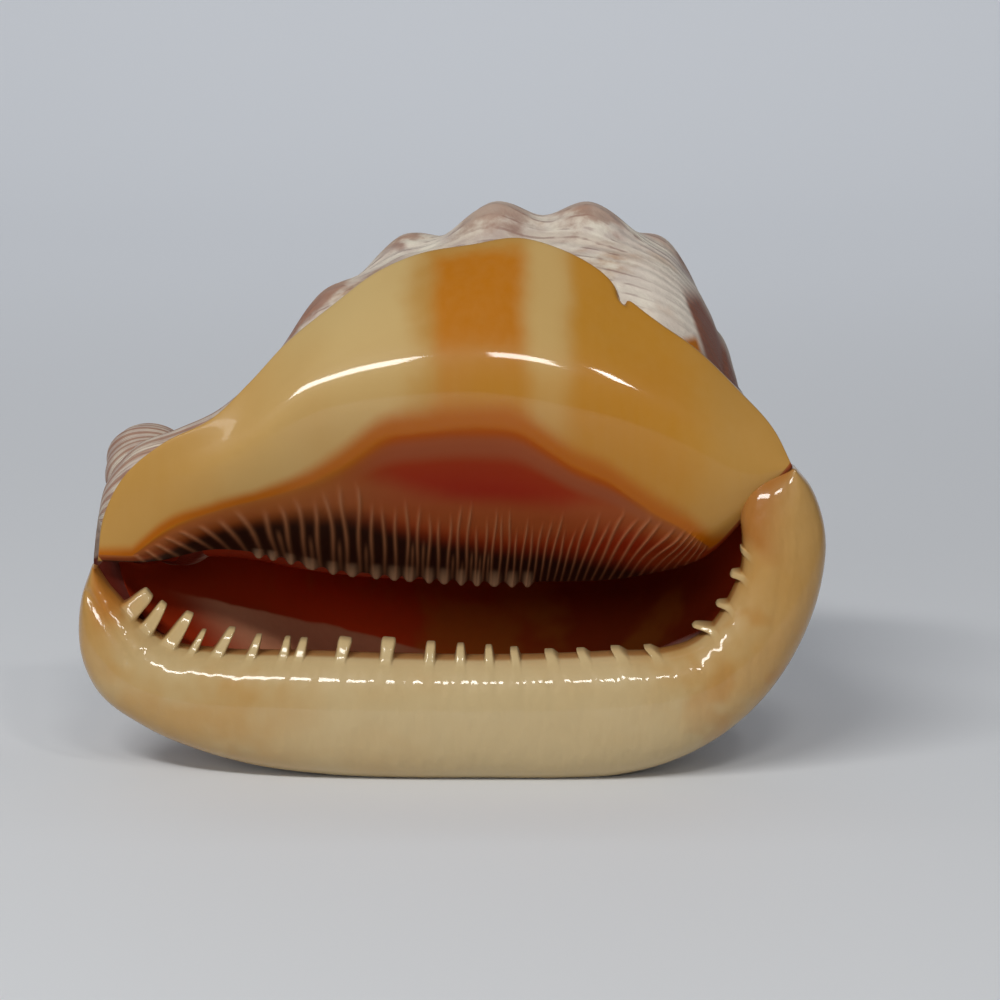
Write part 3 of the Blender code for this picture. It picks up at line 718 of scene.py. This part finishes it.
def lipPlace(along, around):
    shape = lipShape
    length = np.linalg.norm(np.diff(np.array(shape["inner"]), axis=0), axis=1).sum()
    inner, outer = follow(shape["inner"], along), follow(shape["outer"], along)
    turn = 2 * math.pi * around
    inward, outwards = np.cos(turn), np.sin(turn)
    middle, half = (inner + outer) / 2, (outer - inner) / 2
    depth = shape["depth"] * smoothCurve(shape["share"], shape["fullness"], along)
    flat = middle - half * swell(inward, 0.85)[:, None]
    y = smoothCurve(shape["share"], shape["middle"], along) - depth * swell(outwards, 0.85)
    inwards = -half / np.maximum(np.linalg.norm(half, axis=1), 1e-6)[:, None]
    onwards = np.stack([inwards[:, 1], -inwards[:, 0]], axis=-1)
    front = outwards > 0
    start, end = np.array(shape["crease"])
    line = end - start
    beside = np.clip(((flat - start) @ line) / (line @ line), 0, 1)
    away = np.linalg.norm(flat - start - beside[:, None] * line, axis=1)
    crease = shape["creaseDepth"] * front * np.exp(-((away / shape["creaseWidth"]) ** 2))
    y = y + crease * fade(0, 0.2, 1 - beside)
    waves = np.sin(along * 75) + 0.8 * np.sin(along * 190 + 1) + 0.35 * np.sin(along * 410 + 2)
    waves = shape["waveHeight"] * waves * (1 - fade(0.76, 0.86, along))
    y = y - waves * np.exp(-(((inward - 0.62) / 0.22) ** 2)) * front
    crest = np.where(front, fade(*shape["crestFront"], inward), fade(*shape["crestBehind"], inward)) ** 0.8
    rib = fade(*shape["rib"], inward) * front
    teeth = np.zeros_like(along)
    for place, tall, leaning, wide, spread in shape["teeth"]:
        off = (along - place) * length / shape["toothWidth"] / wide
        peg = np.exp(-(np.abs(off / 1.2) ** 7))
        tooth = tall * crest * peg * shape["toothHeight"]
        bend = leaning * 0.5 * tooth * (0.4 + 0.6 * crest)
        bend = bend + spread * np.clip(off, -1, 1) * peg * crest**3 * shape["topSpread"]
        flat = flat + inwards * tooth[:, None] + onwards * bend[:, None]
        y = y - shape["ribHeight"] * rib * peg
        teeth = np.maximum(teeth, peg * np.maximum(crest, rib * 0.7))
    marks = {"lipShare": along, "tooth": teeth, "inward": inward, "outwards": outwards}
    return np.stack([flat[:, 0], y, flat[:, 1]], axis=-1), marks


# finishes

polished = {
    "Roughness": 0.35, "Specular IOR Level": 0.12, "Coat Weight": 0.7, "Coat Roughness": 0.06, "IOR": 1.5,
}
satin = {
    "Roughness": 0.4, "Specular IOR Level": 0.2, "Coat Weight": 0.15, "Coat Roughness": 0.15, "IOR": 1.5,
}
chalky = {"Roughness": 0.55, "Specular IOR Level": 0.3, "IOR": 1.45}


def shieldFinish():
    paint = Paint("polished shield", polished)
    spot = paint.place()
    x, y, z = paint.apart(spot)
    wobble = paint.noise(spot, 0.06, 3.0) - 0.5
    cream, tan = pigment(186, 160, 108), pigment(168, 126, 62)
    amber, honey = pigment(170, 102, 12), pigment(168, 116, 34)
    # pale to the left of the middle, tan to the edges; paler towards the top as painted light where the
    # shield faces up
    xw = x + wobble * 14
    zw = z + wobble * 10
    left = 1 - paint.between(-12, -3, xw)
    pale = paint.between(-66, -30, xw) * left * paint.between(50, 62, zw)
    cloud = paint.noise(paint.stretched(spot, (1.0, 1.0, 0.5)), 0.035, 2.0)
    # painted light: the paleness grows with height, where the shield faces up
    base = paint.mix(pale * (cloud * 0.8 + paint.between(68, 94, zw) * 0.5), tan, cream)
    # a deep amber patch in the middle, running down to the stain
    patch = paint.between(-5.5, -1.0, x + wobble * 5) * (1 - paint.between(13.5, 19.0, x + wobble * 5))
    patch = patch * paint.between(60, 70, z) * (1 - paint.between(102, 106, zw))
    deep = patch * (0.55 + 0.45 * paint.between(82, 90, z + wobble * 8))
    base = paint.mix(deep, base, amber)
    # the right half is honey, with a paler upright band between
    band = paint.between(12, 18, x + wobble * 5) * (1 - paint.between(20, 28, x + wobble * 5))
    base = paint.mix(band * (0.35 + paint.between(66, 84, zw) * 0.65), base, pigment(180, 148, 92))
    right = paint.between(22.5, 27.5, x + wobble * 5) * (1 - paint.between(40, 60, xw) * 0.85)
    base = paint.mix(right, base, honey)
    warm = paint.between(-4, 6, xw) * (1 - paint.between(76, 90, zw))
    warm = warm * (1 - paint.between(36, 52, xw)) * (1 - band * 0.5)
    base = paint.mix(warm * 0.8, base, pigment(168, 112, 30))
    # the stain: an orange edge, red within, brown-black among the ridges
    zone, rise, dark = paint.mark("zone"), paint.mark("rise"), paint.mark("dark")
    rim = paint.ramp(zone, (
        (0.30, pigment(124, 36, 8)), (0.55, pigment(132, 26, 6)), (0.74, pigment(134, 38, 4)),
        (0.86, pigment(136, 52, 2)), (0.95, pigment(150, 68, 2)), (1.00, pigment(164, 88, 2)),
    ))
    brown = paint.ramp(zone, (
        (0.40, pigment(104, 44, 12)), (0.70, pigment(118, 54, 12)), (0.88, pigment(134, 70, 4)),
        (1.00, pigment(160, 96, 6)),
    ))
    redness = paint.between(-26, -8, xw) * (1 - paint.between(34, 46, xw) * 0.5)
    inside = paint.mix(redness, brown, rim)
    above = paint.mark("stainRise") / (0.5 + 0.5 * paint.between(-44, -14, x))
    outside = paint.between(0.8, 6.0, above + wobble * 3)
    amberEdge = paint.mix(outside, pigment(160, 85, 0), base)
    inStain = 1 - paint.between(0.95, 1.01, zone + wobble * 0.12)
    tone = paint.mix(inStain, amberEdge, inside)
    # painted reflection: a paler veil over the upper ridges and a mauve one in the stain's upper part,
    # standing in for the gloss
    sheenVeil = paint.between(0.45, 0.85, rise) * (1 - paint.between(0.95, 1.30, rise + wobble * 0.2))
    tone = paint.mix(sheenVeil * inStain * 0.6, tone, pigment(140, 78, 38))
    mauveSheen = paint.between(0.74, 0.84, zone) * (1 - paint.between(0.88, 0.95, zone)) * redness
    tone = paint.mix(mauveSheen * 0.6, tone, pigment(134, 74, 46))
    among = 1 - paint.between(-0.22, 0.12, dark + wobble * 0.25)
    tone = paint.mix(among * inStain, tone, pigment(34, 13, 6))
    crest = paint.mark("crest")
    tone = paint.mix(crest * (0.85 - 0.25 * among), tone, pigment(146, 94, 62))
    tone = paint.mix(paint.mark("bead"), tone, pigment(134, 100, 74))
    tone = paint.mix(paint.mark("nick"), tone, pigment(104, 62, 24))
    fine = paint.noise(paint.stretched(spot, (1.0, 1.0, 0.25)), 0.5, 4.0)
    tone = paint.mix(fine * 0.12 * outside, tone, pigment(186, 154, 106))
    ripple = paint.noise(paint.stretched(spot, (0.4, 0.4, 1.0)), 0.35, 2.0)
    paint.bump(ripple * 0.7 + fine * 0.3, 0.0001, 0.6)
    # less gloss at the left end, low down and on the stain
    gloss = (0.15 + 0.85 * paint.between(-38, -30, x)) * (0.45 + 0.55 * paint.between(64, 76, z))
    paint.feed(paint.surface.inputs["Coat Weight"], gloss * (0.7 - 0.6 * inStain))
    return paint.colour(tone)


def lipFinish():
    paint = Paint("polished lip", polished)
    spot = paint.place()
    share, tooth = paint.mark("lipShare"), paint.mark("tooth")
    inward, outwards = paint.mark("inward"), paint.mark("outwards")
    cloud = paint.noise(spot, 0.05, 3.0)
    veil = paint.noise(paint.stretched(spot, (0.5, 0.5, 1.4)), 0.08, 2.0)
    tan, cream, white = pigment(170, 134, 80), pigment(176, 152, 108), pigment(182, 161, 120)
    tone = paint.mix(paint.between(0.38, 0.60, cloud), tan, cream)
    whiter = paint.between(0.24, 0.36, share) * (1 - paint.between(0.64, 0.72, share))
    tone = paint.mix(whiter * (0.45 + veil * 0.8).lowest(1.0), tone, white)
    ends = 1 - paint.between(0.03, 0.14, share) * (1 - paint.between(0.74, 0.86, share))
    tone = paint.mix(ends * 0.85, tone, pigment(168, 126, 66))
    # tan clouds at the right, an orange shoulder at the left
    warm = paint.between(0.52, 0.66, paint.noise(spot, 0.085, 2.0)) * paint.between(0.66, 0.76, share)
    tone = paint.mix(warm * (1 - paint.between(0.86, 0.92, share)) * 0.7, tone, pigment(164, 116, 54))
    shoulder = (1 - paint.between(0.050, 0.095, share + cloud * 0.03)) * paint.between(-0.5, 0.3, inward)
    tone = paint.mix(shoulder * 0.9, tone, pigment(162, 98, 26))
    # an orange line between the teeth, red-brown behind it
    ramp = paint.between(0.87, 0.90, share)
    near = paint.between(0.955, 0.995, inward + cloud * 0.02) * (1 - tooth) * (1 - ramp)
    tone = paint.mix(near * 0.8, tone, pigment(140, 88, 34))
    tone = paint.mix(ramp * paint.between(-0.2, 0.7, inward) * 0.85, tone, pigment(150, 90, 28))
    behind = paint.between(0.02, 0.30, outwards * -1.0) * paint.between(-0.2, 0.3, inward) * (1 - ramp)
    tone = paint.mix(behind, tone, pigment(86, 26, 8))
    tone = paint.mix(tooth * (0.85 - behind * 0.5), tone, pigment(186, 164, 120))
    fine = paint.noise(spot, 0.5, 4.0)
    tone = paint.mix(fine * 0.12, tone, pigment(188, 160, 118))
    ripple = paint.noise(paint.stretched(spot, (1.0, 0.5, 0.5)), 0.22, 2.0)
    paint.bump(ripple + paint.noise(spot, 0.6, 2.0) * 0.06, 0.0009, 0.7)
    return paint.colour(tone)


def insideFinish():
    paint = Paint("dark inside", satin)
    spot = paint.place()
    x, y, z = paint.apart(spot)
    cloud = paint.noise(spot, 0.045, 3.0)
    xw = x + cloud * 16
    red, brown, orange = (0.70, 0.060, 0.010, 1), (0.28, 0.040, 0.008, 1), (0.50, 0.18, 0.02, 1)
    darkRed, litSalmon, rust = (0.34, 0.026, 0.004, 1), (0.72, 0.36, 0.20, 1), (0.30, 0.05, 0.02, 1)
    # red at the left, browner to the right, with orange clouds and dark red further in
    tone = paint.mix(paint.between(-24, 44, xw), red, brown)
    tone = paint.mix(paint.between(0.48, 0.66, cloud) * 0.5, tone, orange)
    deep = paint.between(-22, 16, y + x * 0.2)
    tone = paint.mix(deep, darkRed, tone)
    # painted light: a paler fold low on the left wall, from its upper corner, where the light falls onto
    # the mouth's floor
    foldX, foldZ = -54.9, 31.1
    under = foldZ - 0.4 * (x - foldX) - z + (cloud - 0.5) * 3
    litFold = paint.between(0.0, 0.7, under) * (1 - paint.between(4.0, 16.0, under))
    beside = x - foldX - 0.95 * (foldZ - z) + cloud * 4
    litFold = litFold * paint.between(-3.0, 7.0, beside) * (1 - paint.between(-16, 4, x))
    tone = paint.mix(litFold * 0.8, tone, litSalmon)
    fine = paint.noise(spot, 0.6, 3.0)
    tone = paint.mix(fine * 0.2, tone, rust)
    paint.bump(fine, 0.0001, 0.4)
    return paint.colour(tone)


def backFinish():
    paint = Paint("weathered back", chalky)
    spot = paint.place()
    x, y, z = paint.apart(spot)
    growth = paint.mark("growth")
    wobble = paint.noise(spot, 0.07, 4.0) - 0.5
    white, lilac = pigment(214, 206, 190), pigment(186, 172, 162)
    tone = paint.mix(paint.between(0.35, 0.65, paint.noise(spot, 0.12, 4.0)), white, lilac)
    # warm brown clouds
    cloud = paint.noise(paint.stretched(spot, (0.7, 1.0, 1.0)), 0.06, 5.0, 0.6)
    tone = paint.mix(paint.between(0.54, 0.66, cloud) * 0.7, tone, pigment(156, 116, 82))
    tone = paint.mix(paint.between(0.64, 0.74, cloud) * 0.7, tone, pigment(128, 90, 68))
    # fine growth lines, a little askew
    lines = (growth * 560.0 + x * 0.42 + wobble * 8).wave()
    fine = paint.between(0.72, 0.98, lines) * paint.between(0.42, 0.58, paint.noise(spot, 0.2, 2.0))
    tone = paint.mix(fine * 0.6, tone, pigment(120, 92, 88))
    wide = paint.between(0.55, 0.95, (growth * 88.0 + x * 0.06 + wobble * 4).wave())
    tone = paint.mix(wide * 0.22, tone, pigment(150, 116, 98))
    # knobs worn brown, each in its own way
    patchy = paint.noise(spot, 0.25, 4.0)
    worn = paint.between(0.40, 0.58, paint.noise(spot, 0.055, 2.0)).highest(1 - paint.between(-6, 18, y))
    cap = paint.between(0.14, 0.60, paint.mark("cap") + (patchy - 0.5) * 1.3) * (0.2 + worn * 0.8)
    tone = paint.mix(cap * 0.85, tone, paint.mix(patchy, pigment(150, 100, 70), pigment(142, 120, 112)))
    tone = paint.mix(paint.mark("spire") * 0.6, tone, pigment(112, 80, 60))
    # browner at the left, by the shield and on the canal
    leftSide = (1 - paint.between(-44, -14, x + wobble * 16)) * (1 - paint.between(10, 30, y))
    streaky = paint.between(-0.2, 0.7, (growth * 150.0 + x * 0.1 + wobble * 5).wave())
    tone = paint.mix(leftSide * (0.25 + streaky * 0.5), tone, pigment(140, 92, 68))
    # near the shield's right edge: clean white, a brown stripe and an orange spot at its foot
    fore = 1 - paint.between(-8, 2, y)
    clean = paint.between(34, 42, x + wobble * 6) * fore * paint.between(80, 86, z)
    tone = paint.mix(clean * 0.6, tone, pigment(214, 204, 190))
    stripeTop = 95.4
    down = stripeTop - z
    pastEdge = x - 48.2 - down * 0.33
    stripe = paint.between(-0.6, 0.6, pastEdge + wobble * 2)
    stripe = stripe * (1 - paint.between(0.0, 2.0, x - 50.5 - down * 0.8))
    stripe = stripe * fore * paint.between(-2, 3, down) * paint.between(66, 74, z + wobble * 8)
    tone = paint.mix(stripe, tone, pigment(126, 82, 66))
    orangeSpot = paint.between(46, 48, x) * (1 - paint.between(-1.0, 0.2, pastEdge))
    orangeSpot = orangeSpot * (1 - paint.between(86, 88, z)) * fore * paint.between(78, 81, z)
    tone = paint.mix(orangeSpot, tone, pigment(170, 100, 20))
    # painted shade: a dark brown, darker than the inside's own red, where it is no longer the outside of
    # the shell
    paintedShadeBrown = (0.14, 0.012, 0.003, 1)
    tone = paint.mix(paint.mark("outer"), paintedShadeBrown, tone)
    grain = paint.noise(spot, 1.4, 4.0, 0.6)
    paint.bump(grain * 0.4 + lines * 0.25 + paint.noise(spot, 0.3, 3.0), 0.0004, 0.7)
    paint.feed(paint.surface.inputs["Roughness"], 0.42 + grain * 0.25)
    return paint.colour(tone)


# making

back, inside = backFinish(), insideFinish()
print("finishes ready")

body = gridPiece("shell_body", whorlShape["columns"], whorlShape["rows"], whorlPlace, [back, inside])
hollow = gridPiece("hollow", hollowShape["columns"], hollowShape["rows"], hollowPlace, [inside])
cutAway(body, hollow)
canal = gridPiece(
    "canal", canalShape["columns"], canalShape["rows"],
    tubePlace(canalShape["route"], canalShape["radius"], canalShape["ribs"]), [back, inside],
)
channel = gridPiece(
    "channel", canalShape["channelColumns"], canalShape["channelRows"],
    tubePlace(canalShape["channel"], canalShape["channelRadius"]), [inside],
)
cutAway(body, channel)
cutAway(canal, channel)
for cutter in (hollow, channel):
    bpy.data.objects.remove(cutter)
print("whorl and canal made")

shield = gridPiece("shield", shieldShape["columns"], shieldShape["rows"], shieldPlace, [shieldFinish()])
lip = gridPiece("outer_lip", lipShape["columns"], lipShape["rows"], lipPlace, [lipFinish()])
print("shield and lip made")

for piece in (body, canal, shield, lip):
    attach(piece, "root")
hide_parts("helmet_shell")


# floor, light and camera

studio = {
    "lookDown": 10,
    "target": (0.0099, -0.0440, 0.0571),
    "distance": 0.65,
    "lens": 116.4,
    "floorSize": 6,
    "floorFrom": 1.2,         # how far back the floor starts to sweep up, and how steeply
    "floorRise": 0.45,
    "floorSettings": {"Roughness": 0.6, "IOR": 1.3},
    "floorColour": (0.76, 0.78, 0.81, 1),
    "lampsAim": (0, 0, 0.05),
    # bearing from the front and height in degrees, distance, size across and up, watts, colour,
    # and whether the gloss shows it
    "lamps": (
        (-33, 46, 1.3, 0.78, 0.13, 7.8, (1.0, 0.99, 0.96), True),
        (11, 45, 1.3, 0.22, 0.11, 1.9, (1.0, 0.98, 0.94), True),
        (30, 47, 1.3, 0.08, 0.12, 1.1, (1.0, 0.98, 0.94), True),
        (-10, 22, 2.2, 1.8, 0.6, 7.5, (1.0, 0.99, 0.97), False),
    ),
    # lights the floor behind: place, aim, size across and up, watts, colour
    "backdropLamp": ((0.0, 0.9, 1.5), (0.0, 2.4, 0.2), 2.4, 0.8, 17.0, (0.95, 0.97, 1.0)),
    "sky": (0.62, 0.65, 0.72, 1),
    "skyStrength": 0.20,
}


def makeFloor():
    bpy.ops.mesh.primitive_grid_add(x_subdivisions=48, y_subdivisions=48, size=studio["floorSize"])
    floor = bpy.context.object
    floor.name = "floor"
    for vertex in floor.data.vertices:    # sweeps up far behind, with no edge in sight
        behind = max(vertex.co.y - studio["floorFrom"], 0)
        vertex.co.z = studio["floorRise"] * behind * behind
    bpy.ops.object.shade_smooth()
    paint = Paint("pale floor", studio["floorSettings"])
    floor.data.materials.append(paint.colour(studio["floorColour"]))


def areaLamp(place, aim, wide, high, watts, colour, mirrored):
    bpy.ops.object.light_add(type="AREA", location=place)
    lamp = bpy.context.object
    lamp.data.shape = "RECTANGLE"
    lamp.data.size, lamp.data.size_y = wide, high
    lamp.data.energy = watts
    lamp.data.color = colour
    lamp.visible_glossy = mirrored
    lamp.rotation_euler = (aim - place).to_track_quat("-Z", "Y").to_euler()


def makeLamps():
    aim = Vector(studio["lampsAim"])
    for bearing, height, away, wide, high, watts, colour, mirrored in studio["lamps"]:
        turn, rise = math.radians(bearing), math.radians(height)
        level = math.cos(rise)
        towards = Vector((math.sin(turn) * level, -math.cos(turn) * level, math.sin(rise)))
        areaLamp(aim + towards * away, aim, wide, high, watts, colour, mirrored)
    place, onto, wide, high, watts, colour = studio["backdropLamp"]
    areaLamp(Vector(place), Vector(onto), wide, high, watts, colour, False)
    world = bpy.data.worlds.new("soft studio")
    world.use_nodes = True
    sky = world.node_tree.nodes["Background"]
    sky.inputs["Color"].default_value = studio["sky"]
    sky.inputs["Strength"].default_value = studio["skyStrength"]
    bpy.context.scene.world = world
    world.cycles_visibility.glossy = False


def makeCamera():
    tilt = math.radians(studio["lookDown"])
    look = Vector((0, math.cos(tilt), -math.sin(tilt)))
    bpy.ops.object.camera_add(location=Vector(studio["target"]) - look * studio["distance"])
    camera = bpy.context.object
    camera.rotation_euler = look.to_track_quat("-Z", "Y").to_euler()
    camera.data.sensor_width = 36
    camera.data.lens = studio["lens"]
    camera.data.clip_start, camera.data.clip_end = 0.05, 30
    bpy.context.scene.camera = camera


makeFloor()
makeLamps()
makeCamera()
bpy.context.scene.view_settings.view_transform = "Standard"
bpy.context.view_layer.update()
print("scene ready")
